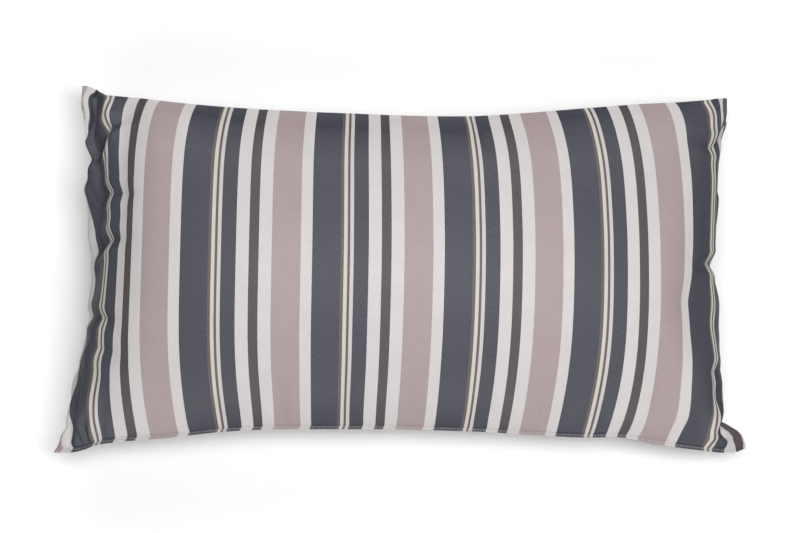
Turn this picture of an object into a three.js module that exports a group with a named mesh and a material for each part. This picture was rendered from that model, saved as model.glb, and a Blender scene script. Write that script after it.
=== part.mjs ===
// Outdoor throw pillow: two panels of striped cloth sewn edge to edge, turned and filled.
// It lies on its back, front panel up. Millimetres, +X along the pillow, +Y towards its
// top edge, +Z up. The origin is on the surface it lies on, under its middle.
import * as THREE from "three";

// The flat cloth of one panel, between its seams
const FLAT_WIDTH = 600;
const FLAT_HEIGHT = 315;

// Filled shape
const CROWN_TOP = 136.5; // what the front panel would reach far from its sides
const END_RUN = 99; // the cloth beside a short side in which the crown rises most
const SIDE_SHOULDER = 140; // how far it takes to rise from a long side, the lip left out
const SIDE_ROUNDNESS = 1.68; // higher is flatter on top
const SIDE_STEEPNESS = 0.86; // lower is steeper beside the seam
const BACK_PRESS = 1.45; // over 1, so that the back panel meets the surface in a flat patch
const SEAM_THICKNESS = 2.4; // two turned-in layers of cloth
const LIP_DEPTH = 5; // the flat edge along the sewn-up bottom side

// Grid of the closed surface
const COLUMNS = 42;
const ROWS = 50;
const EDGE_CROWDING = 0.62; // 0 spaces the grid lines evenly, 1 draws them to the seams

// How the folds are pressed in
const FOLD_START = 2.5; // the folds deepen with the fullness, and faster than it by this much
const LEAST_DEPTH = 0.05; // a shallower press is left out
const NORMAL_STEP = 0.004; // share of a side between the points that give the outward direction

// The seam line, a row for each place where it bends. Along is the length of cloth from the
// side's first corner: left to right on the long sides, bottom to top on the short ones.
const bottomSeam = [
  { along: 0, x: -288, y: -156, z: 46 },
  { along: 14, x: -274, y: -156, z: 49.5 },
  { along: 28, x: -264, y: -154, z: 52 },
  { along: 43, x: -253, y: -150, z: 54.5 },
  { along: 64, x: -234, y: -147, z: 57 },
  { along: 96, x: -200.5, y: -144, z: 59 },
  { along: 147, x: -151, y: -138, z: 61 },
  { along: 251, x: -52, y: -134.5, z: 61 },
  { along: 355, x: 50, y: -135, z: 61 },
  { along: 460, x: 151.5, y: -139, z: 60 },
  { along: 495, x: 184.5, y: -139, z: 59 },
  { along: 514, x: 203.5, y: -143, z: 57.5 },
  { along: 536, x: 225.5, y: -146, z: 56 },
  { along: 565, x: 254, y: -149, z: 53 },
  { along: 578, x: 266, y: -150, z: 49.5 },
  { along: 589, x: 278, y: -149.5, z: 45.5 },
  { along: FLAT_WIDTH, x: 288, y: -146, z: 42 },
];
const topSeam = [
  { along: 0, x: -274.5, y: 151, z: 48 },
  { along: 5, x: -270.5, y: 151, z: 46.5 },
  { along: 14, x: -264.5, y: 149, z: 44 },
  { along: 25, x: -260.5, y: 148, z: 37 },
  { along: 36, x: -257, y: 144, z: 43.5 },
  { along: 46, x: -247.5, y: 142.5, z: 47 },
  { along: 58, x: -235.5, y: 141, z: 50.5 },
  { along: 69, x: -224.5, y: 139.5, z: 54 },
  { along: 83, x: -211, y: 137, z: 58 },
  { along: 100, x: -195, y: 135, z: 60.5 },
  { along: 147, x: -150.5, y: 132, z: 61 },
  { along: 251, x: -49.5, y: 129, z: 61 },
  { along: 355, x: 51, y: 129, z: 61 },
  { along: 460, x: 152, y: 138.5, z: 61 },
  { along: 505, x: 196.5, y: 143.5, z: 59 },
  { along: 540, x: 231.5, y: 146.5, z: 57 },
  { along: 564, x: 256.5, y: 150.5, z: 51 },
  { along: 582, x: 268, y: 154, z: 43.5 },
  { along: FLAT_WIDTH, x: 277.5, y: 156, z: 36 },
];
const leftSeam = [
  { along: 0, x: -288, y: -156, z: 46 },
  { along: 26, x: -275.5, y: -133.5, z: 46.5 },
  { along: 40, x: -274.5, y: -120, z: 46.5 },
  { along: 50, x: -272.5, y: -109.5, z: 46.5 },
  { along: 72, x: -268.5, y: -89.5, z: 47 },
  { along: 90, x: -265.5, y: -72.5, z: 47 },
  { along: 112, x: -260.5, y: -50, z: 47 },
  { along: 152, x: -258.5, y: -10, z: 47 },
  { along: 180, x: -261.5, y: 18, z: 47 },
  { along: 212, x: -263, y: 50.5, z: 47 },
  { along: 232, x: -262, y: 71, z: 47 },
  { along: 248, x: -258.5, y: 87, z: 47 },
  { along: 258, x: -260.5, y: 96, z: 47 },
  { along: 279, x: -268.5, y: 116, z: 49 },
  { along: 301, x: -274.5, y: 136.5, z: 50 },
  { along: FLAT_HEIGHT, x: -274.5, y: 151, z: 48 },
];
const rightSeam = [
  { along: 0, x: 288, y: -146, z: 42 },
  { along: 7, x: 287, y: -141, z: 44 },
  { along: 14, x: 283.5, y: -135, z: 46.5 },
  { along: 21, x: 278, y: -131, z: 48 },
  { along: 28, x: 271.5, y: -128, z: 48.5 },
  { along: 35, x: 265.5, y: -125.5, z: 47.5 },
  { along: 42, x: 260, y: -120.5, z: 46 },
  { along: 50, x: 258, y: -112.5, z: 47 },
  { along: 60, x: 257.5, y: -102, z: 49 },
  { along: 80, x: 258, y: -81.5, z: 52 },
  { along: 110, x: 258, y: -51, z: 55 },
  { along: 155, x: 255, y: -6, z: 55 },
  { along: 170, x: 253, y: 8.5, z: 55 },
  { along: 185, x: 255, y: 23, z: 55 },
  { along: 215, x: 259, y: 53, z: 55 },
  { along: 250, x: 262, y: 89, z: 55 },
  { along: 285, x: 268.5, y: 125, z: 49 },
  { along: 300, x: 273.5, y: 141, z: 42 },
  { along: FLAT_HEIGHT, x: 277.5, y: 156, z: 36 },
];

// The main folds: each is a soft trough that starts at a short side's seam and fades inwards.
// Along is its place on that side, rise how far it climbs towards the top edge by its end.
const folds = [
  { side: "left", along: 24, depth: 2.5, spread: 6, reach: 40, rise: -2 },
  { side: "left", along: 97, depth: 3, spread: 7, reach: 80, rise: -17 },
  { side: "left", along: 117, depth: 3.5, spread: 6, reach: 62, rise: -9 },
  { side: "left", along: 166, depth: 5, spread: 7, reach: 80, rise: 12 },
  { side: "left", along: 216, depth: 4, spread: 7, reach: 84, rise: -6 },
  { side: "left", along: 246, depth: 6, spread: 7, reach: 76, rise: 42 },
  { side: "left", along: 298, depth: 4, spread: 5, reach: 38, rise: 8 },
  { side: "right", along: 42, depth: 6, spread: 6, reach: 40, rise: -36 },
  { side: "right", along: 76, depth: 3, spread: 6, reach: 56, rise: -3 },
  { side: "right", along: 168, depth: 5, spread: 7, reach: 68, rise: -10 },
  { side: "right", along: 290, depth: 5, spread: 7, reach: 70, rise: -22 },
];

// A smooth curve through a side's rows: its point at a length of cloth from the first corner
function seamCurve(rows) {
  const points = rows.map((row) => new THREE.Vector3(row.x, row.y, row.z));
  const slopes = points.map((point, i) => {
    const before = Math.max(i - 1, 0);
    const after = Math.min(i + 1, rows.length - 1);
    const length = rows[after].along - rows[before].along;
    return points[after].clone().sub(points[before]).divideScalar(length);
  });
  return (along) => {
    let i = 0;
    while (i < rows.length - 2 && along > rows[i + 1].along) i += 1;
    const length = rows[i + 1].along - rows[i].along;
    const s = (along - rows[i].along) / length;
    const rise = s * s * (3 - 2 * s);
    return points[i]
      .clone()
      .multiplyScalar(1 - rise)
      .addScaledVector(points[i + 1], rise)
      .addScaledVector(slopes[i], length * s * (1 - s) * (1 - s))
      .addScaledVector(slopes[i + 1], -length * s * s * (1 - s));
  };
}

const bottom = seamCurve(bottomSeam);
const top = seamCurve(topSeam);
const left = seamCurve(leftSeam);
const right = seamCurve(rightSeam);

// The sheet that the seam line would span by itself: s runs along the pillow, t across it
function seamSheet(s, t) {
  const sheet = new THREE.Vector3();
  sheet.addScaledVector(bottom(s * FLAT_WIDTH), 1 - t);
  sheet.addScaledVector(top(s * FLAT_WIDTH), t);
  sheet.addScaledVector(left(t * FLAT_HEIGHT), 1 - s);
  sheet.addScaledVector(right(t * FLAT_HEIGHT), s);
  sheet.addScaledVector(bottom(0), -(1 - s) * (1 - t));
  sheet.addScaledVector(bottom(FLAT_WIDTH), -s * (1 - t));
  sheet.addScaledVector(top(0), -(1 - s) * t);
  sheet.addScaledVector(top(FLAT_WIDTH), -s * t);
  return sheet;
}

// How far the filling has lifted the cloth, 0 at the seams to 1 over the crown
function fullness(s, t) {
  const fromEnd = Math.min(s, 1 - s) * FLAT_WIDTH;
  const fromBottom = Math.max(t * FLAT_HEIGHT - LIP_DEPTH, 0);
  const fromTop = (1 - t) * FLAT_HEIGHT;
  const endLift = Math.sqrt(1 - Math.exp(-fromEnd / END_RUN));
  const sideGap = Math.max(1 - Math.min(fromBottom, fromTop) / SIDE_SHOULDER, 0);
  return endLift * (1 - sideGap ** SIDE_ROUNDNESS) ** SIDE_STEEPNESS;
}

// The depth of the folds at a point of the cloth: full at the seam, none at the fold's reach
function foldDepth(s, t) {
  let depth = 0;
  for (const fold of folds) {
    const inwards = (fold.side === "left" ? s : 1 - s) * FLAT_WIDTH;
    const fade = Math.max(1 - inwards / fold.reach, 0);
    const centre = fold.along + (fold.rise * inwards) / fold.reach;
    const off = (t * FLAT_HEIGHT - centre) / fold.spread;
    depth += fold.depth * fade * fade * (1 + 2 * (1 - fade)) * Math.exp(-off * off);
  }
  return depth;
}

// A panel's point before its folds are pressed in: face is 1 on the front and -1 on the back
function smoothPoint(s, t, face) {
  const point = seamSheet(s, t);
  const lift = fullness(s, t);
  const fromEnd = Math.min(s, 1 - s) * FLAT_WIDTH;
  const fromEdge = Math.min(fromEnd, t * FLAT_HEIGHT, (1 - t) * FLAT_HEIGHT);
  const layer = (SEAM_THICKNESS / 2) * Math.min(fromEdge / SEAM_THICKNESS, 1);
  if (face > 0) {
    point.z += layer + (CROWN_TOP - layer - point.z) * lift;
  } else {
    point.z = Math.max((point.z - layer) * (1 - BACK_PRESS * lift), 0);
  }
  return point;
}

// The outward direction of a panel, from its points a little to each side
function outward(s, t, face) {
  const step = NORMAL_STEP;
  const fromLeft = smoothPoint(Math.max(s - step, 0), t, face);
  const fromBelow = smoothPoint(s, Math.max(t - step, 0), face);
  const alongWidth = smoothPoint(Math.min(s + step, 1), t, face).sub(fromLeft);
  const alongHeight = smoothPoint(s, Math.min(t + step, 1), face).sub(fromBelow);
  return alongWidth.cross(alongHeight).multiplyScalar(face).normalize();
}

function panelPoint(s, t, face) {
  const point = smoothPoint(s, t, face);
  const depth = foldDepth(s, t) * Math.min(fullness(s, t) * FOLD_START, 1);
  if (depth > LEAST_DEPTH && point.z > 0) point.addScaledVector(outward(s, t, face), -depth);
  point.z = Math.max(point.z, 0);
  return point;
}

// Grid lines from 0 to 1, closer together towards both seams
function gridLines(count) {
  const lines = [];
  for (let i = 0; i <= count; i += 1) {
    const even = i / count;
    const crowded = (1 - Math.cos(Math.PI * even)) / 2;
    lines.push(even + (crowded - even) * EDGE_CROWDING);
  }
  return lines;
}

// Front and back panel as one closed surface, with the seam's points shared
function filledCover() {
  const across = gridLines(COLUMNS);
  const up = gridLines(ROWS);
  const positions = [];
  const pointNumber = new Map();
  const numberOf = (i, j, face) => {
    const onSeam = i === 0 || i === COLUMNS || j === 0 || j === ROWS;
    const key = `${i} ${j} ${onSeam ? 0 : face}`;
    if (!pointNumber.has(key)) {
      pointNumber.set(key, positions.length / 3);
      const point = onSeam ? seamSheet(across[i], up[j]) : panelPoint(across[i], up[j], face);
      positions.push(point.x, point.y, point.z);
    }
    return pointNumber.get(key);
  };
  const triangles = [];
  for (const face of [1, -1]) {
    for (let i = 0; i < COLUMNS; i += 1) {
      for (let j = 0; j < ROWS; j += 1) {
        const a = numberOf(i, j, face);
        const b = numberOf(i + 1, j, face);
        const c = numberOf(i + 1, j + 1, face);
        const d = numberOf(i, j + 1, face);
        // Each quarter's diagonals run to its corner, so that no triangle has all its points on the seam
        const rising = (i < COLUMNS / 2) === (j < ROWS / 2);
        const pair = rising ? [a, b, c, a, c, d] : [a, b, d, b, c, d];
        triangles.push(...(face > 0 ? pair : pair.reverse()));
      }
    }
  }
  const geometry = new THREE.BufferGeometry();
  geometry.setAttribute("position", new THREE.Float32BufferAttribute(positions, 3));
  geometry.setIndex(triangles);
  geometry.computeVertexNormals();
  return geometry;
}

const stripedCloth = new THREE.MeshStandardMaterial({ color: 0x9a9293, roughness: 0.85, metalness: 0 });
const cover = new THREE.Mesh(filledCover(), stripedCloth);
cover.name = "filled_cover";

const pillow = new THREE.Group();
pillow.name = "outdoor_throw_pillow";
pillow.add(cover);

export default pillow;
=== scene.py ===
import math
import bpy
import numpy as np
from mathutils import Matrix, Vector


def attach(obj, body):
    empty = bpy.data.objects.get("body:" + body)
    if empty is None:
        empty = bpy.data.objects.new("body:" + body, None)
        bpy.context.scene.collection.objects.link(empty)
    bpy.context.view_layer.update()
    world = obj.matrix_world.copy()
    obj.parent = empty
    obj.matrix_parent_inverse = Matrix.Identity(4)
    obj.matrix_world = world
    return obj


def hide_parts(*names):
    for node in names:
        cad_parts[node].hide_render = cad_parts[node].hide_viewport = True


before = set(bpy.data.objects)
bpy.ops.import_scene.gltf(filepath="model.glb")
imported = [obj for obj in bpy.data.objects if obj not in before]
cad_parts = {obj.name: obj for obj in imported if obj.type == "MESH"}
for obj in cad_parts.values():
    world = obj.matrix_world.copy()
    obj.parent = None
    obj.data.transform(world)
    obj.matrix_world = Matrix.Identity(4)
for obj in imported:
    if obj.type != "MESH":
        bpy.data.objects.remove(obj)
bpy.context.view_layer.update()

# Filled cover
# Two panels of striped outdoor cloth, sewn face to face, turned and filled with loose
# polyester fibre. Three sides are turned seams. The bottom side, where the filling went in,
# is closed by one row of edge stitching, which leaves a flat lip.
FLAT_WIDTH = 0.600  # one panel between its seams
FLAT_HEIGHT = 0.315
LIP_DEPTH = 0.005
STITCH_ROW = 0.0028  # the edge stitching, up from the bottom edge
STITCH_PINCH = 0.5  # how much thinner the lip is where the thread pulls it together
CLOTH_HALF = 0.0009  # half of the layers that are sewn together in a seam

# The seam line in millimetres, a row for each place where it bends: the length of cloth from
# the side's first corner, then x, y and z. Long sides run left to right, short ones upwards.
BOTTOM_SEAM = (
    (0, -288, -156, 46), (14, -274, -156, 49.5), (28, -264, -154, 52), (43, -253, -150, 54.5),
    (64, -234, -147, 57), (96, -200.5, -144, 59), (147, -151, -138, 61), (251, -52, -134.5, 61),
    (355, 50, -135, 61), (460, 151.5, -139, 60), (495, 184.5, -139, 59), (514, 203.5, -143, 57.5),
    (536, 225.5, -146, 56), (565, 254, -149, 53), (578, 266, -150, 49.5),
    (589, 278, -149.5, 45.5), (600, 288, -146, 42),
)
TOP_SEAM = (
    (0, -274.5, 151, 48), (5, -270.5, 151, 46.5), (14, -264.5, 149, 44), (25, -260.5, 148, 37),
    (36, -257, 144, 43.5), (46, -247.5, 142.5, 47), (58, -235.5, 141, 50.5), (69, -224.5, 139.5, 54),
    (83, -211, 137, 58), (100, -195, 135, 60.5), (147, -150.5, 132, 61), (251, -49.5, 129, 61),
    (355, 51, 129, 61), (460, 152, 138.5, 61), (505, 196.5, 143.5, 59), (540, 231.5, 146.5, 57),
    (564, 256.5, 150.5, 51), (582, 268, 154, 43.5), (600, 277.5, 156, 36),
)
LEFT_SEAM = (
    (0, -288, -156, 46), (26, -275.5, -133.5, 46.5), (40, -274.5, -120, 46.5), (50, -272.5, -109.5, 46.5),
    (72, -268.5, -89.5, 47), (90, -265.5, -72.5, 47), (112, -260.5, -50, 47), (152, -258.5, -10, 47),
    (180, -261.5, 18, 47), (212, -263, 50.5, 47), (232, -262, 71, 47), (248, -258.5, 87, 47),
    (258, -260.5, 96, 47), (279, -268.5, 116, 49), (301, -274.5, 136.5, 50), (315, -274.5, 151, 48),
)
RIGHT_SEAM = (
    (0, 288, -146, 42), (7, 287, -141, 44), (14, 283.5, -135, 46.5), (21, 278, -131, 48),
    (28, 271.5, -128, 48.5), (35, 265.5, -125.5, 47.5), (42, 260, -120.5, 46), (50, 258, -112.5, 47),
    (60, 257.5, -102, 49), (80, 258, -81.5, 52), (110, 258, -51, 55), (155, 255, -6, 55),
    (170, 253, 8.5, 55), (185, 255, 23, 55), (215, 259, 53, 55), (250, 262, 89, 55),
    (285, 268.5, 125, 49), (300, 273.5, 141, 42), (315, 277.5, 156, 36),
)


def smooth_between(places, values, wanted):
    """Values along their first axis, joined by smooth curves and read at the wanted places."""
    slope = np.gradient(values, places, axis=0)
    i = np.clip(np.searchsorted(places, wanted, side="right") - 1, 0, len(places) - 2)
    across = (len(wanted),) + (1,) * (values.ndim - 1)
    gap = (places[i + 1] - places[i]).reshape(across)
    s = (wanted - places[i]).reshape(across) / gap
    return (
        (1 - s) ** 2 * (1 + 2 * s) * values[i]
        + s ** 2 * (3 - 2 * s) * values[i + 1]
        + gap * s * (1 - s) * ((1 - s) * slope[i] - s * slope[i + 1])
    )


def seam_sheet(along, up):
    """The sheet that the seam line would span by itself, at the crossings of two sets of lines."""
    side = [np.array(rows, float) / 1000 for rows in (BOTTOM_SEAM, TOP_SEAM, LEFT_SEAM, RIGHT_SEAM)]
    bottom, top = [smooth_between(t[:, 0], t[:, 1:], along)[:, None] for t in side[:2]]
    left, right = [smooth_between(t[:, 0], t[:, 1:], up)[None] for t in side[2:]]
    s, t = (along / FLAT_WIDTH)[:, None, None], (up / FLAT_HEIGHT)[None, :, None]
    corner = [rows[end, 1:] for rows in side[:2] for end in (0, -1)]
    return (
        (1 - t) * bottom + t * top + (1 - s) * left + s * right
        - (1 - s) * (1 - t) * corner[0] - s * (1 - t) * corner[1]
        - (1 - s) * t * corner[2] - s * t * corner[3]
    )


# The coarse grid on which the filling blows the cloth up
END_RUN = 0.096  # the stretch at each end where the cloth creases
END_STEP = 0.004
MIDDLE_STEP = 0.0085
ROW_STEP = 0.0043

end_lines = np.arange(0, END_RUN, END_STEP)
middle_count = round((FLAT_WIDTH - 2 * END_RUN) / MIDDLE_STEP) + 1
middle_lines = np.linspace(END_RUN, FLAT_WIDTH - END_RUN, middle_count)
along = np.concatenate([end_lines, middle_lines, (FLAT_WIDTH - end_lines)[::-1]])
row_count = round((FLAT_HEIGHT - LIP_DEPTH) / ROW_STEP)
up = np.concatenate([[0], np.linspace(LIP_DEPTH, FLAT_HEIGHT, row_count + 1)])
U, V = np.meshgrid(along, up, indexing="ij")
sheet = seam_sheet(along, up)
held = np.zeros(U.shape, bool)
held[[0, -1]] = True
held[:, [0, 1, -1]] = True

CROWN_GUESS = 0.129
WALL_RADIUS = 0.060
HALF_ANGLE = 1.03  # radians from the crown's middle line to either long side
ENDS_DRAWN_IN = 0.87  # how far apart the two short seams lie, as a share of the flat cloth
FADE_RUN = 0.080
FADE_STEEPNESS = 1.5
SIDE_SPREAD = 0.130
LIP_BLEND = 0.02
BACK_OVERSHOOT = 1.03  # past 1, so that the back's middle comes down flat
ABOVE_FLOOR = 0.001


def first_shape(face):
    """A rough filled panel to start from: face is 1 on the front and -1 on the back."""
    from_end = np.minimum(U, FLAT_WIDTH - U)
    turn = np.minimum(from_end / WALL_RADIUS, math.pi / 2)
    round_part = WALL_RADIUS * (1 - np.cos(turn))
    beyond = np.maximum(from_end - WALL_RADIUS * math.pi / 2, 0)
    across = np.clip((V - LIP_DEPTH) / (FLAT_HEIGHT - LIP_DEPTH), 0, 1)
    angle = (2 * across - 1) * HALF_ANGLE
    side_lift = (np.cos(angle) - math.cos(HALF_ANGLE)) / (1 - math.cos(HALF_ANGLE))
    lift = np.sin(turn) * side_lift
    shape = sheet.copy()
    towards_middle = np.where(U < FLAT_WIDTH / 2, 1, -1)
    fade = np.clip((FLAT_WIDTH / 2 - from_end) / FADE_RUN, 0, 1)
    fade *= np.clip(side_lift * FADE_STEEPNESS, 0, 1)
    shape[..., 0] += (round_part + beyond - from_end * ENDS_DRAWN_IN) * fade * towards_middle
    spread = np.sin(angle) / math.sin(HALF_ANGLE) - (2 * V / FLAT_HEIGHT - 1)
    shape[..., 1] += spread * SIDE_SPREAD * np.sin(turn) * np.clip((V - LIP_DEPTH) / LIP_BLEND, 0, 1)
    if face > 0:
        shape[..., 2] += (CROWN_GUESS - shape[..., 2]) * lift
    else:
        shape[..., 2] = np.maximum(shape[..., 2] * (1 - BACK_OVERSHOOT * lift), ABOVE_FLOOR)
    shape[held] = sheet[held]
    shape[1:-1, 1, 2] += face * CLOTH_HALF
    return shape


SETTLE_STEPS = 600
THREAD_ROUNDS = 2  # how often all the threads are drawn to their length in one step
KEPT_SPEED = 0.985  # the share of its speed that the cloth keeps from step to step
FILLING_PUSH = 2e-6
SQUEEZE = 0.05  # how much a slack thread pushes back, where a stretched one pulls back in full
SKEW = 0.02  # how much the weave resists going out of square
CORNER_SLACK = 0.045  # the filling hardly reaches into the corners and ends
LEFT_SLACK = 0.070
RIGHT_SLACK = 0.040
BACK_LENGTH = 0.955  # the share of the back's length that small folds don't take up


def pull(points, free, first, second, length, stretch, squeeze):
    """Moves the two ends of each thread towards its length: in full if stretched, less if slack."""
    a, b = points[first], points[second]
    span = b - a
    reach = np.sqrt((span * span).sum(axis=-1, keepdims=True))
    short = reach - length
    weight = np.maximum(free[first] + free[second], 1)
    move = span * np.where(short > 0, stretch, squeeze) * short / np.maximum(reach, 1e-9) / weight
    a += free[first] * move
    b -= free[second] * move


def settle(shape, steps):
    """Both panels on their grid, blown up by the filling until the cloth is taut."""
    free = np.broadcast_to(np.where(held, 0.0, 1.0), shape.shape[:3])[..., None]
    panel_length = np.array([1, BACK_LENGTH])[:, None, None, None]
    length_u = np.diff(along)[None, :, None, None] * panel_length
    length_v = np.diff(up)[None, None, :, None]
    slant = np.hypot(length_u, length_v)
    cell = np.gradient(along)[:, None] * np.gradient(up)[None]
    from_corner = np.hypot(np.minimum(U, FLAT_WIDTH - U), np.minimum(V, FLAT_HEIGHT - V))
    push = FILLING_PUSH * np.minimum(from_corner / CORNER_SLACK, 1) / cell
    push *= np.minimum(U / LEFT_SLACK, 1) * np.minimum((FLAT_WIDTH - U) / RIGHT_SLACK, 1)
    push = np.stack([push, -push])[..., None]
    every = slice(None)
    low, high = slice(None, -1), slice(1, None)
    pairs = [(slice(start, -1, 2), slice(start + 1, None, 2), start) for start in (0, 1)]
    threads = []
    for near, far, start in pairs:
        threads.append(((every, near), (every, far), length_u[:, start::2], 1.0, SQUEEZE))
    for near, far, start in pairs:
        threads.append(((every, every, near), (every, every, far), length_v[:, :, start::2], 1.0, SQUEEZE))
    for near, far, start in pairs:
        skewed = (slant[:, start::2], SKEW, SKEW * SQUEEZE)
        threads.append(((every, near, low), (every, far, high)) + skewed)
        threads.append(((every, near, high), (every, far, low)) + skewed)
    before = shape.copy()
    for _ in range(steps):
        outward = np.cross(np.gradient(shape, axis=1), np.gradient(shape, axis=2))
        speed = (shape - before) * KEPT_SPEED
        before = shape.copy()
        shape = shape + (speed + outward * push) * free
        for _ in range(THREAD_ROUNDS):
            for thread in threads:
                pull(shape, free, *thread)
        shape[..., 2] = np.maximum(shape[..., 2], 0)
    return shape


both = np.stack([first_shape(1), first_shape(-1)])
both = settle(both, SETTLE_STEPS)

# The fine grid on which the creases are pressed in: closest at the seams, wider to the middle
SEAM_LINES = (0, 0.0008, 0.002, 0.004)
EAR_RUN = 0.060  # the stretch at each end with the tightest folds
EAR_STEP = 0.002
FINE_END_STEP = 0.003
FINE_MIDDLE_STEP = 0.006
FINE_ROW = 0.0023
LIP_ROWS = (0, 0.0007, 0.0019, STITCH_ROW, 0.0038, LIP_DEPTH, LIP_DEPTH + 0.0009)
FIRST_BODY_ROW = LIP_DEPTH + 0.0025
TOP_ROWS = (0.002, 0.0008, 0)  # down from the top seam

end_lines = np.concatenate([
    SEAM_LINES, np.arange(SEAM_LINES[-1], EAR_RUN, EAR_STEP)[1:],
    np.linspace(EAR_RUN, END_RUN, round((END_RUN - EAR_RUN) / FINE_END_STEP), endpoint=False),
])
middle_count = round((FLAT_WIDTH - 2 * END_RUN) / FINE_MIDDLE_STEP) + 1
middle_lines = np.linspace(END_RUN, FLAT_WIDTH - END_RUN, middle_count)
fine_along = np.concatenate([end_lines, middle_lines, (FLAT_WIDTH - end_lines)[::-1]])
top_rows = FLAT_HEIGHT - np.array(TOP_ROWS)
row_count = round((top_rows[0] - FIRST_BODY_ROW) / FINE_ROW)
body_rows = np.linspace(FIRST_BODY_ROW, top_rows[0], row_count + 1)
fine_up = np.concatenate([LIP_ROWS, body_rows, top_rows[1:]])
columns, rows = len(fine_along), len(fine_up)
U, V = np.meshgrid(fine_along, fine_up, indexing="ij")

in_lip = fine_up <= LIP_DEPTH
panels = []
for panel in both:
    across = smooth_between(along, panel[:, 1:], fine_along)
    body = smooth_between(up[1:], across.swapaxes(0, 1), fine_up[~in_lip]).swapaxes(0, 1)
    lip = seam_sheet(fine_along, fine_up[in_lip])
    panels.append(np.concatenate([lip, body], axis=1))
panels = np.stack(panels)

# Creases, in millimetres of flat cloth: where each bends, its depth and its half width there.
# A depth under zero is a bulge.
CREASES = (
    ((0, 246, 3.5, 4), (20, 249, 4, 5), (34, 260, 6, 5), (41, 273, 7, 5), (48, 279, 4, 5), (60, 286, 2, 5),
     (74, 294, 0, 6)),
    ((8, 216, 0, 5), (28, 216, 2.5, 6), (44, 216, 3.5, 5), (62, 214, 2.5, 5), (84, 210, 0, 6)),
    ((4, 164, 1, 6), (12, 169, 3, 6), (30, 175, 4, 5), (44, 177, 4.5, 5), (60, 176, 1.5, 5),
     (78, 176, 0, 6)),
    ((4, 117, 1, 4), (14, 117, 3, 5), (44, 113, 3, 4), (60, 108, 0, 5)),
    ((10, 97, 0, 5), (30, 92, 2, 5), (44, 88, 3, 6), (62, 83, 2, 7), (80, 80, 0, 7)),
    ((2, 24, 1, 4), (12, 22, 2.5, 5), (28, 22, 0, 6)),
    ((600, 292, 1, 4), (590, 284, 3, 5), (572, 268, 3, 5), (562, 264, 4.5, 5), (545, 268, 1, 6),
     (530, 270, 0, 6)),
    ((598, 168, 2, 4), (580, 165, 4, 5), (564, 163, 4.5, 4.5), (548, 160, 1.5, 5), (532, 158, 0, 6)),
    ((542, 128, 0, 9), (530, 130, 3, 11), (512, 134, 0, 10)),
    ((596, 78, 0, 5), (566, 74, 2.5, 5), (546, 74, 0, 6)),
    ((599, 42, 2, 4), (588, 37, 6, 5), (577, 29, 7, 5), (571, 17, 5, 4), (567, 6, 1, 4)),
    ((60, 292, 4, 14), (62, 250, 4, 16), (62, 212, 5, 16), (62, 170, 3, 16), (62, 120, 2.5, 16),
     (60, 90, 4, 16), (56, 60, 4, 16), (52, 40, 4, 14), (50, 20, 2, 12)),
    ((18, 240, -3, 8), (17, 222, -6, 12), (16, 196, -2, 10)),
    ((552, 250, 2, 16), (552, 180, 2.5, 18), (548, 130, 4, 18), (556, 80, 2, 16)),
    ((540, 60, -3, 20), (534, 36, -7, 20), (520, 25, -3, 18)),
    ((566, 66, 2, 9), (568, 50, 5, 8), (572, 40, 3, 7)),
)
VALLEY_FALL = 1.1  # how fast a crease fades across its half width
VALLEY_ROUNDING = 0.03
VALLEY_SHARPNESS = 0.7
RIDGE_SHARE = 0.22  # the soft ridge on both sides of a crease, against its depth
RIDGE_PLACE = 2.1  # in half widths from the crease
RIDGE_WIDTH = 0.8


def crease_depth(rows_of_crease):
    """How far one crease presses the cloth in at each point of the fine grid, in metres."""
    table = np.array(rows_of_crease, float) / 1000
    nearest = np.full(U.shape, np.inf)
    depth, width = np.zeros(U.shape), np.ones(U.shape)
    for start, stop in zip(table[:-1], table[1:]):
        step = stop[:2] - start[:2]
        share = ((U - start[0]) * step[0] + (V - start[1]) * step[1]) / (step @ step)
        share = np.clip(share, 0, 1)
        away = np.hypot(U - start[0] - share * step[0], V - start[1] - share * step[1])
        closer = away < nearest
        nearest = np.where(closer, away, nearest)
        depth = np.where(closer, start[2] + share * (stop[2] - start[2]), depth)
        width = np.where(closer, start[3] + share * (stop[3] - start[3]), width)
    off = nearest / width
    valley = np.exp(-VALLEY_FALL * (off ** 2 + VALLEY_ROUNDING) ** VALLEY_SHARPNESS)
    ridge = np.exp(-((off - RIDGE_PLACE) / RIDGE_WIDTH) ** 2)
    return depth * (valley - RIDGE_SHARE * ridge)


SMOOTHING_ROUNDS = 4


def outward_of(shape):
    """The outward direction at each point of a panel, as if seen on the front."""
    across = np.cross(np.gradient(shape, axis=0), np.gradient(shape, axis=1))
    for _ in range(SMOOTHING_ROUNDS):
        padded = np.pad(across, ((1, 1), (1, 1), (0, 0)), mode="edge")
        across = (padded[:-2, 1:-1] + padded[2:, 1:-1] + padded[1:-1, :-2] + padded[1:-1, 2:]) / 4
    return across / np.maximum(np.linalg.norm(across, axis=-1, keepdims=True), 1e-9)


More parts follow.
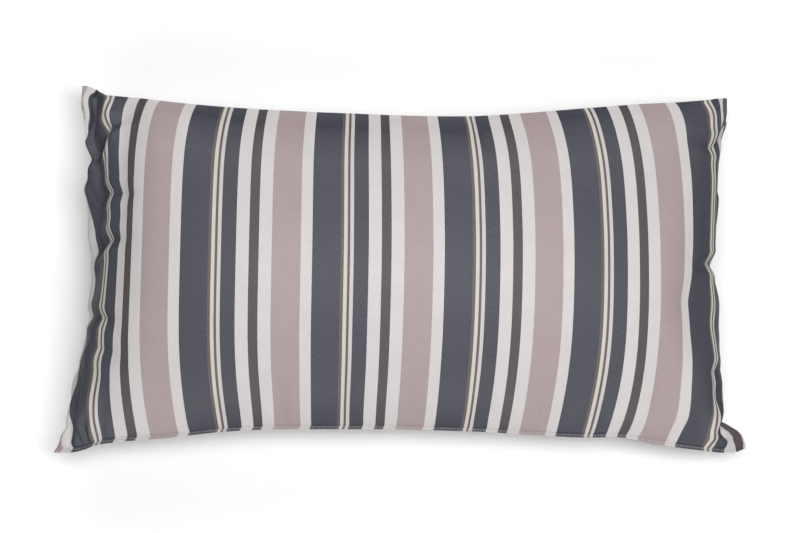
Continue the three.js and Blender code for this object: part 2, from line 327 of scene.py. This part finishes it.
BACK_SHARE = 0.6  # the back's folds are shallower, because it is pressed flat
SEAM_HOLD = 0.006  # the stiff seam and lip keep creases shallow this far into the cloth
EDGE_ROUND = 0.0008  # how far in from the seam the cloth's turned edge is round
STITCH_DENT = 0.0009
depth = sum(crease_depth(rows_of_crease) for rows_of_crease in CREASES)
from_seam = np.minimum(np.minimum(U, FLAT_WIDTH - U), np.minimum(V, FLAT_HEIGHT - V))
depth = depth * np.clip(from_seam / SEAM_HOLD, 0, 1) ** 0.5 * np.clip((V - LIP_DEPTH) / SEAM_HOLD, 0, 1)
thick = CLOTH_HALF * np.sqrt(1 - (1 - np.clip(from_seam / EDGE_ROUND, 0, 1)) ** 2)
thick *= 1 - STITCH_PINCH * np.exp(-((V - STITCH_ROW) / STITCH_DENT) ** 2)
for face, panel in ((1, panels[0]), (-1, panels[1])):
    outward = outward_of(panel) * face
    share = 1 if face > 0 else BACK_SHARE
    moved = thick[..., None] * np.where(V[..., None] > LIP_DEPTH, outward, (0, 0, face))
    panel += moved - outward * (depth * share)[..., None] * (panel[..., 2:] > ABOVE_FLOOR)

# Where gathers at the ends and ears draw the cloth aside, in millimetres: a place on the flat
# cloth, how far along and up from there it is felt, and how far it goes in x, y and z
FRONT_PULLS = (
    # the left wall beside the seam, which bellies out between its folds
    (8, 50, 7, 13, -3, 0, 0), (8, 80, 7, 13, -2.5, 0, 0), (8, 131, 7, 20, -3.5, 0, 0),
    (8, 190, 7, 28, -7, 0, 0), (14, 75, 9, 13, 2.5, 0, 0), (14, 162, 9, 13, -3.5, 0, 0),
    (19, 225, 9, 16, -6.5, 0, 0),
    # the top left ear and the deep fold under its cap
    (19, 257, 9, 18, -8.5, 0, 0), (14, 278, 10, 17, -9, 0, 1), (13, 303, 10, 12, -8, 0, -1),
    (5, 293, 10, 8, -2.5, 0, -1), (25, 303, 10, 8, 0, 1, 6), (34, 304, 10, 8, 2, 1, -3),
    (11, 259, 5, 12, 0, 0, -4), (21, 260, 5, 12, 0, 0, 1.5),
    # where the left wall turns over into the crown
    (43, 68, 11, 20, 4.5, 0, 0), (43, 103, 11, 13, 3.5, 0, 0), (43, 265, 11, 22, 2, 0, 0),
    (58, 110, 13, 34, 2.5, 0, 0), (58, 200, 13, 45, 2, 0, 0), (58, 295, 13, 20, -1.5, 0, 0),
    # where the right wall does
    (535, 38, 14, 20, 2, 0, 0), (535, 118, 14, 30, -3.5, 0, 0), (535, 296, 14, 20, 1.5, 0, 0),
    (564, 63, 11, 18, -4, 0, 0), (564, 113, 11, 13, -2.5, 0, 0), (564, 253, 11, 13, -1.5, 0, 0),
    (564, 298, 11, 13, 3, 0, 0),
    # the right wall beside the seam, and the tuck that the seam lies in
    (587, 95, 9, 26, 4, 0, 0), (587, 134, 9, 17, 4, 0, 0), (593, 288, 6, 16, 0, 0, 4),
    (594, 255, 6, 16, 0, 0, 1.5), (597, 200, 6, 40, 0, 0, 1.5),
    # the bottom right ear, bent outwards behind its fold
    (568, 15, 9, 7, 2.5, -1.5, 3.5), (580, 10, 9, 7, 2, 1, -1), (580, 22, 9, 7, -6, 0, -4),
    (581, 35, 9, 8, -3, -1.5, 2), (590, 13, 9, 7, -4, 3, -1), (595, 29, 9, 8, -6, -4.5, 0),
)
BACK_PULLS = (
    # the bottom right ear
    (587, 44, 9, 8, -3, -2, 0), (592, 31, 9, 8, -4.5, -2.5, 0.5), (596, 28, 9, 8, -2, -4, -5),
    # under the top left ear's cap
    (20, 309, 8, 8, 0.5, -1, -4),
    # the tuck that the right seam lies in
    (590, 284, 9, 14, -1, 0, -4.5), (592, 256, 9, 16, 0, 0, -2), (596, 205, 9, 45, 0, 0, -1.5),
)
PULL_HOLD = 0.008  # the seam itself doesn't follow a pull, and the cloth beside it only partly
for panel, pulls in ((panels[0], FRONT_PULLS), (panels[1], BACK_PULLS)):
    for at_u, at_v, reach_u, reach_v, *drawn in pulls:
        felt = np.exp(-((U * 1000 - at_u) / reach_u) ** 2 - ((V * 1000 - at_v) / reach_v) ** 2)
        felt *= np.clip(from_seam / PULL_HOLD, 0, 1)
        panel += felt[..., None] * np.array(drawn) / 1000

LEAST_GAP = 0.0016  # the same place of the back cloth stays this far under the front cloth
GAP_RUN = 0.004
gap = LEAST_GAP * np.clip(from_seam / GAP_RUN, 0, 1)
panels[1, ..., 2] = np.minimum(panels[1, ..., 2], panels[0, ..., 2] - gap)
panels[..., 2] = np.maximum(panels[..., 2], 0)

on_seam = np.zeros((columns, rows), bool)
on_seam[[0, -1]] = True
on_seam[:, [0, -1]] = True
inner = ~on_seam
number = np.empty((2, columns, rows), int)
number[:] = np.arange(columns * rows).reshape(columns, rows)
number[1][inner] = columns * rows + np.arange(inner.sum())


def gathered(front, back):
    """Both panels' values as one list, with the seam's points once."""
    return np.concatenate([front.reshape(columns * rows, -1), back[inner].reshape(inner.sum(), -1)])


quads = []
for face in (0, 1):
    n = number[face]
    ring = [n[:-1, :-1], n[1:, :-1], n[1:, 1:], n[:-1, 1:]]
    if face:
        ring.reverse()
    quads.append(np.stack([corner.ravel() for corner in ring], axis=1))


def mesh_object(name, points, faces):
    mesh = bpy.data.meshes.new(name)
    mesh.from_pydata([tuple(p) for p in points], [], [tuple(map(int, f)) for f in faces])
    mesh.validate()
    made = bpy.data.objects.new(name, mesh)
    bpy.context.scene.collection.objects.link(made)
    return made


cover = mesh_object("filled_cloth_cover", gathered(panels[0], panels[1]), np.concatenate(quads))
cover.data.polygons.foreach_set("use_smooth", [True] * len(cover.data.polygons))
cloth_place = np.stack([U, V], axis=-1)
corner_vertex = np.empty(len(cover.data.loops), int)
cover.data.loops.foreach_get("vertex_index", corner_vertex)
uv_layer = cover.data.uv_layers.new(name="cloth")
uv_layer.data.foreach_set("uv", gathered(cloth_place, cloth_place)[corner_vertex].ravel())


def linear(value):
    """A colour written as six sRGB hex digits, as linear red, green, blue and alpha."""
    levels = [int(value[i:i + 2], 16) / 255 for i in (0, 2, 4)]
    return [c / 12.92 if c <= 0.04045 else ((c + 0.055) / 1.055) ** 2.4 for c in levels] + [1.0]


def add(tree, kind, settings=(), **links):
    """Adds a node, with its settings, and links its inputs to outputs or sets their values."""
    node = tree.nodes.new(kind)
    for name, value in dict(settings).items():
        setattr(node, name, value)
    for name, value in links.items():
        socket = node.inputs[int(name[1:])] if name[1:].isdigit() else node.inputs[name]
        if isinstance(value, bpy.types.NodeSocket):
            tree.links.new(value, socket)
        else:
            socket.default_value = value
    return node


# Cloth widths of one repeat, in millimetres, and the colour of each stripe
STRIPES = (
    (22.2, "slate"), (2.5, "olive"), (2.6, "cream"), (2.4, "olive"), (2.5, "pearl"), (12.0, "slate"),
    (10.2, "white"), (7.6, "brown"), (10.2, "white"), (22.7, "taupe"), (9.3, "white"),
)
FIRST_REPEAT = 14.3  # from the left seam to the first whole repeat
# Each yarn's colour, and how mixed its fibres are
YARNS = {
    "slate": ("343540", 0.80), "olive": ("554e48", 0.40), "cream": ("beb8b0", 0.06),
    "pearl": ("b9b5b5", 0.06), "white": ("c0bbbb", 0.04), "brown": ("433a3d", 0.50),
    "taupe": ("998a89", 0.08),
}
YARN_PITCH = 0.9  # millimetres; drawn coarser than the real 0.5, so that it holds at picture size
YARN_RELIEF = 0.00006
FLECK_WIDTH = 0.7
FLECK_LENGTH = 2.6
FLECK_CONTRAST = 2.0
DYE_PATCH = 20.0  # millimetres from one slow change of shade to the next
DYE_CHANGE = 0.03
FULL_GLOSS = 0.7
SLANT_GLOSS = 0.02
GLOSS_FADES = (0.25, 0.5)  # from how slanted a view on the gloss fades, and where it is gone


def striped_cloth():
    """Woven polyester, its fibres dyed in the mass: dull, with soft flecks along the warp and
    the small even relief of a plain weave."""
    material = bpy.data.materials.new("woven_solution_dyed_polyester")
    material.use_nodes = True
    tree = material.node_tree
    shader = tree.nodes["Principled BSDF"]
    repeat = sum(width for width, _ in STRIPES)
    place = add(tree, "ShaderNodeUVMap", {"uv_map": "cloth"})
    mm = add(tree, "ShaderNodeVectorMath", {"operation": "SCALE"}, _0=place.outputs[0], Scale=1000.0)
    split = add(tree, "ShaderNodeSeparateXYZ", _0=mm.outputs[0])
    shifted = add(tree, "ShaderNodeMath", {"operation": "SUBTRACT"}, _0=split.outputs[0], _1=FIRST_REPEAT)
    share = add(tree, "ShaderNodeMath", {"operation": "DIVIDE"}, _0=shifted.outputs[0], _1=repeat)
    phase = add(tree, "ShaderNodeMath", {"operation": "FLOORED_MODULO"}, _0=share.outputs[0], _1=1.0)
    ramp = add(tree, "ShaderNodeValToRGB", _0=phase.outputs[0])
    ramp.color_ramp.interpolation = "CONSTANT"
    start = 0.0
    for count, (width, yarn) in enumerate(STRIPES):
        stops = ramp.color_ramp.elements
        stop = stops[count] if count < 2 else stops.new(start / repeat)
        stop.position = start / repeat
        colour, mixed = YARNS[yarn]
        stop.color = linear(colour)[:3] + [mixed]  # the ramp's alpha carries how mixed the yarn is
        start += width

    # Flecks of lighter and darker fibre along the warp, and a slow unevenness of the dye
    drawn_out = add(
        tree, "ShaderNodeVectorMath", {"operation": "MULTIPLY"},
        _0=mm.outputs[0], _1=(1 / FLECK_WIDTH, 1 / FLECK_LENGTH, 1),
    )
    flecks = add(tree, "ShaderNodeTexNoise", Vector=drawn_out.outputs[0], Scale=1.0, Detail=2.0)
    centred = add(tree, "ShaderNodeMath", {"operation": "SUBTRACT"}, _0=flecks.outputs[0], _1=0.5)
    fleck_light = add(
        tree, "ShaderNodeMath", {"operation": "MULTIPLY"}, _0=centred.outputs[0], _1=ramp.outputs[1],
    )
    uneven = add(tree, "ShaderNodeTexNoise", Vector=mm.outputs[0], Scale=1 / DYE_PATCH, Detail=3.0)
    uneven_light = add(
        tree, "ShaderNodeMapRange", _0=uneven.outputs[0],
        _1=0.25, _2=0.75, _3=1 - DYE_CHANGE, _4=1 + DYE_CHANGE,
    )
    light = add(
        tree, "ShaderNodeMath", {"operation": "MULTIPLY_ADD"},
        _0=fleck_light.outputs[0], _1=FLECK_CONTRAST, _2=uneven_light.outputs[0],
    )
    dyed = add(
        tree, "ShaderNodeVectorMath", {"operation": "SCALE"}, _0=ramp.outputs[0], Scale=light.outputs[0],
    )
    tree.links.new(dyed.outputs[0], shader.inputs["Base Color"])

    # Warp over weft: two crossed ripples, half a wave to each yarn
    turns = math.pi / YARN_PITCH
    ripples = []
    for direction in (0, 1):
        angle = add(tree, "ShaderNodeMath", {"operation": "MULTIPLY"}, _0=split.outputs[direction], _1=turns)
        ripples.append(add(tree, "ShaderNodeMath", {"operation": "SINE"}, _0=angle.outputs[0]).outputs[0])
    weave = add(tree, "ShaderNodeMath", {"operation": "MULTIPLY"}, _0=ripples[0], _1=ripples[1])
    relief = add(tree, "ShaderNodeBump", Strength=1.0, Distance=YARN_RELIEF, Height=weave.outputs[0])
    tree.links.new(relief.outputs[0], shader.inputs["Normal"])
    # Raised yarns shade each other when seen at a slant, so the gloss fades there
    slant = add(tree, "ShaderNodeLayerWeight", Blend=0.5)
    gloss = add(
        tree, "ShaderNodeMapRange", _0=slant.outputs["Facing"],
        _1=GLOSS_FADES[0], _2=GLOSS_FADES[1], _3=FULL_GLOSS, _4=SLANT_GLOSS,
    )
    tree.links.new(gloss.outputs[0], shader.inputs["Specular IOR Level"])
    shader.inputs["Roughness"].default_value = 0.62
    shader.inputs["Sheen Weight"].default_value = 0.1
    shader.inputs["Sheen Roughness"].default_value = 0.5
    return material


cover.data.materials.append(striped_cloth())
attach(cover, "root")
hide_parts("filled_cover")

# Edge stitching
# One row of lockstitch in pale spun polyester thread closes the bottom side through both
# layers. It is the only sewing that shows, since the other three seams are turned.
STITCH_LENGTH = 0.0021
STITCH_PITCH = 0.0027
SHORTEST_STITCH, LONGEST_STITCH = 0.85, 1.1  # against the usual length
THREAD_RADIUS = 0.00024
THREAD_PROUD = 0.5  # the share of its radius by which the thread's middle stands off the cloth
STITCH_FROM, STITCH_TO = 0.012, 0.588
STITCH_SEED = 5


def stitch_path(face):
    """The line that the thread follows on one face of the lip."""
    row = int(np.argmin(abs(fine_up - STITCH_ROW)))
    inside = (fine_along >= STITCH_FROM) & (fine_along <= STITCH_TO)
    path = panels[0 if face > 0 else 1][inside, row].copy()
    path[:, 2] += face * THREAD_RADIUS * THREAD_PROUD
    return path


def stitch_tree():
    """Resamples a path at the stitch pitch and lays one small rounded stitch along each step."""
    tree = bpy.data.node_groups.new("lay_stitches", "GeometryNodeTree")
    sockets = tree.interface
    sockets.new_socket("Path", in_out="INPUT", socket_type="NodeSocketGeometry")
    sizes = (("Pitch", "Float"), ("Length", "Float"), ("Radius", "Float"))
    for name, kind in sizes + (("Seed", "Int"), ("Thread", "Material")):
        sockets.new_socket(name, in_out="INPUT", socket_type="NodeSocket" + kind)
    sockets.new_socket("Stitches", in_out="OUTPUT", socket_type="NodeSocketGeometry")
    given = tree.nodes.new("NodeGroupInput").outputs
    curve = add(tree, "GeometryNodeMeshToCurve", Mesh=given["Path"])
    steps = add(
        tree, "GeometryNodeResampleCurve", {"mode": "LENGTH"}, Curve=curve.outputs[0], Length=given["Pitch"],
    )
    along_path = add(tree, "GeometryNodeInputTangent")
    turned = add(tree, "FunctionNodeAlignRotationToVector", {"axis": "X"}, Vector=along_path.outputs[0])
    half = add(tree, "ShaderNodeMath", {"operation": "MULTIPLY"}, _0=given["Length"], _1=0.5)
    size = add(tree, "ShaderNodeCombineXYZ", X=half.outputs[0], Y=given["Radius"], Z=given["Radius"])
    ball = add(tree, "GeometryNodeMeshIcoSphere", Radius=1.0, Subdivisions=2)
    vary = add(
        tree, "FunctionNodeRandomValue", {"data_type": "FLOAT"},
        _2=SHORTEST_STITCH, _3=LONGEST_STITCH, Seed=given["Seed"],
    )
    scaled = add(
        tree, "ShaderNodeVectorMath", {"operation": "SCALE"}, _0=size.outputs[0], Scale=vary.outputs[1],
    )
    laid = add(
        tree, "GeometryNodeInstanceOnPoints", Points=steps.outputs[0], Instance=ball.outputs[0],
        Rotation=turned.outputs[0], Scale=scaled.outputs[0],
    )
    real = add(tree, "GeometryNodeRealizeInstances", Geometry=laid.outputs[0])
    coloured = add(tree, "GeometryNodeSetMaterial", Geometry=real.outputs[0], Material=given["Thread"])
    end = add(tree, "NodeGroupOutput")
    tree.links.new(coloured.outputs[0], end.inputs[0])
    return tree


TWIST_PITCH = 0.0044  # drawn coarser than the real 0.4 mm, so that it shows at all
WAVE_ANGLE = 10  # radians that a diagonal wave texture turns in one unit along an axis


def sewing_thread():
    """Spun polyester: dull and slightly hairy, so nearly without a highlight, with a slanting
    twist. Its grooves get painted shade, a slightly darker colour where the twist's wave is low."""
    material = bpy.data.materials.new("spun_polyester_thread")
    material.use_nodes = True
    tree = material.node_tree
    shader = tree.nodes["Principled BSDF"]
    place = add(tree, "ShaderNodeTexCoord")
    twist = add(
        tree, "ShaderNodeTexWave", {"bands_direction": "DIAGONAL"}, Vector=place.outputs["Object"],
        Scale=2 * math.pi / (WAVE_ANGLE * TWIST_PITCH), Distortion=1.5,
    )
    # Painted shade: where the wave is low, in the twist's grooves, the thread gets a darker colour than on
    # its strands
    shade = add(tree, "ShaderNodeMix", {"data_type": "RGBA"}, _0=twist.outputs["Fac"])
    painted_groove_shade, strand = (socket for socket in shade.inputs if socket.name in "AB" and socket.type == "RGBA")
    painted_groove_shade.default_value = linear("8f8b8b")
    strand.default_value = linear("b4b0b0")
    tree.links.new(shade.outputs[2], shader.inputs["Base Color"])
    relief = add(tree, "ShaderNodeBump", Strength=0.6, Distance=0.00004, Height=twist.outputs["Fac"])
    tree.links.new(relief.outputs[0], shader.inputs["Normal"])
    shader.inputs["Roughness"].default_value = 0.75
    return material


thread = sewing_thread()

stitch_nodes = stitch_tree()
for name, face in (("edge_stitches_front", 1), ("edge_stitches_back", -1)):
    path = stitch_path(face)
    guide = bpy.data.meshes.new(name + "_path")
    guide.from_pydata([tuple(p) for p in path], [(i, i + 1) for i in range(len(path) - 1)], [])
    maker = bpy.data.objects.new(name + "_maker", guide)
    bpy.context.scene.collection.objects.link(maker)
    modifier = maker.modifiers.new("stitches", "NODES")
    modifier.node_group = stitch_nodes
    socket = {item.name: item.identifier for item in stitch_nodes.interface.items_tree}
    modifier[socket["Pitch"]] = STITCH_PITCH
    modifier[socket["Length"]] = STITCH_LENGTH
    modifier[socket["Radius"]] = THREAD_RADIUS
    modifier[socket["Seed"]] = STITCH_SEED
    modifier[socket["Thread"]] = thread
    grown = maker.evaluated_get(bpy.context.evaluated_depsgraph_get())
    stitches = bpy.data.objects.new(name, bpy.data.meshes.new_from_object(grown))
    bpy.context.scene.collection.objects.link(stitches)
    bpy.data.objects.remove(maker)
    bpy.data.meshes.remove(guide)
    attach(stitches, "root")
    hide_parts("filled_cover")

# Surface
# A plain table covered with matt white paper, far larger than the picture shows. The pillow
# lies on it on the flat patch of its back.
FLOOR_HALF = 4
corners = [(x * FLOOR_HALF, y * FLOOR_HALF, 0) for x, y in ((-1, -1), (1, -1), (1, 1), (-1, 1))]
floor = mesh_object("floor", corners, [(0, 1, 2, 3)])
floor_paint = bpy.data.materials.new("matt_white_paper")
floor_paint.use_nodes = True
floor_shader = floor_paint.node_tree.nodes["Principled BSDF"]
floor_shader.inputs["Base Color"].default_value = (0.95, 0.95, 0.95, 1)
floor_shader.inputs["Roughness"].default_value = 0.9
floor.data.materials.append(floor_paint)

# Light
# A photographer's table: one softbox overhead, a little to the right, and a tall white panel,
# lit evenly, beyond each long side of the pillow. The room itself gives only a faint glow.
ROOM_GLOW = 0.08
SOFTBOX_PLACE = (0.12, -0.04, 1.56)
SOFTBOX_TARGET = (0, 0, 0.06)
SOFTBOX_WIDTH = 0.45
SOFTBOX_LENGTH = 1.2
SOFTBOX_POWER = 20
PANEL_WIDTH = 3.6
PANEL_HEIGHT = 2.8
PANEL_OFF_FLOOR = 0.2
PANEL_AWAY = 2.6
PANEL_TO_RIGHT = 0.1
PANEL_POWER = 62
world = bpy.data.worlds.new("soft_room")
bpy.context.scene.world = world
world.use_nodes = True
world.node_tree.nodes["Background"].inputs["Color"].default_value = (1, 1, 1, 1)
world.node_tree.nodes["Background"].inputs["Strength"].default_value = ROOM_GLOW


def area_light(name, place, target, width, height, power):
    data = bpy.data.lights.new(name, "AREA")
    data.shape, data.size, data.size_y, data.energy = "RECTANGLE", width, height, power
    lamp = bpy.data.objects.new(name, data)
    bpy.context.scene.collection.objects.link(lamp)
    lamp.visible_camera = False
    lamp.location = place
    lamp.rotation_euler = (Vector(target) - Vector(place)).to_track_quat("-Z", "Y").to_euler()


area_light(
    "overhead_softbox", SOFTBOX_PLACE, SOFTBOX_TARGET, SOFTBOX_WIDTH, SOFTBOX_LENGTH, SOFTBOX_POWER,
)
for name, side in (("top_panel", 1), ("bottom_panel", -1)):
    middle = PANEL_HEIGHT / 2 + PANEL_OFF_FLOOR
    place = (PANEL_TO_RIGHT, side * PANEL_AWAY, middle)
    target = (PANEL_TO_RIGHT, 0, middle)
    area_light(name, place, target, PANEL_WIDTH, PANEL_HEIGHT, PANEL_POWER)

# Camera
# A long lens looks down on the front panel from 1.4 m, a few degrees from the bottom and the
# left, and the picture is turned by a touch, as in the photo.
DISTANCE = 1.400
TILT_TO_BOTTOM = math.radians(7.0)
TILT_TO_LEFT = math.radians(3.3)
ROLL = math.radians(0.6)
SCALE = 1203.5  # pixels for a metre at the target
TARGET = Vector((-0.002, -0.003, 0.062))
TARGET_PIXEL = (405.0, 271.0)
WIDTH, HEIGHT = 800, 533

backwards = Vector((-math.tan(TILT_TO_LEFT), -math.tan(TILT_TO_BOTTOM), 1)).normalized()
upright = (Vector((0, 1, 0)) - backwards * backwards.y).normalized()
rightwards = upright.cross(backwards)
upright = upright * math.cos(ROLL) - rightwards * math.sin(ROLL)
rightwards = upright.cross(backwards)
camera_data = bpy.data.cameras.new("camera")
camera = bpy.data.objects.new("camera", camera_data)
bpy.context.scene.collection.objects.link(camera)
bpy.context.scene.camera = camera
axes = Matrix((rightwards, upright, backwards)).transposed().to_4x4()
camera.matrix_world = Matrix.Translation(TARGET + backwards * DISTANCE) @ axes
camera_data.sensor_width = 36
camera_data.lens = SCALE * DISTANCE * camera_data.sensor_width / WIDTH
camera_data.shift_x = (WIDTH / 2 - TARGET_PIXEL[0]) / WIDTH
camera_data.shift_y = (TARGET_PIXEL[1] - HEIGHT / 2) / WIDTH

# A catalogue photo's plain sRGB, without a film look
bpy.context.scene.view_settings.view_transform = "Standard"

bpy.context.view_layer.update()
